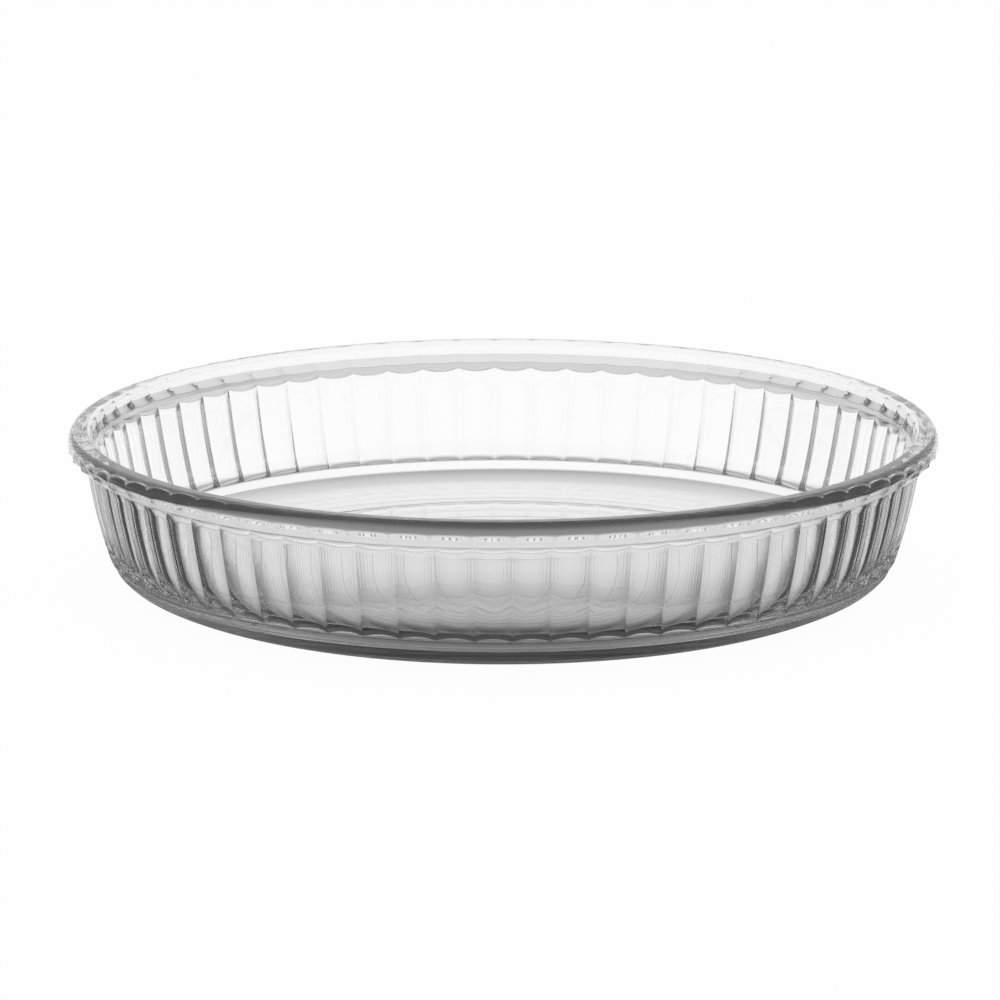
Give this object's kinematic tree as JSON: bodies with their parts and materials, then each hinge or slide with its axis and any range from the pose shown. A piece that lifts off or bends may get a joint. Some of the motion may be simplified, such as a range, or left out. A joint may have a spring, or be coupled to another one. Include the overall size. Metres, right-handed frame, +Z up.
{
  "type": "pie dish",
  "caption": "Round shallow pie or flan dish of clear glass, with a fluted wall, a smooth neck, a flange rim with a rippled edge and concentric rings under its flat floor.",
  "frame": {"origin": "centre of the foot ring, on the plane that the dish stands on", "axes": "+Z up along the dish's axis; a ridge of the wall lies on +X and on +Y"},
  "size_m": [0.32, 0.32, 0.06],
  "materials": {
    "clear_glass": "clear colourless pressed glass, smooth and glossy all over"
  },
  "bodies": {
    "root": {"glass_dish": "clear_glass"}
  },
  "joints": []
}
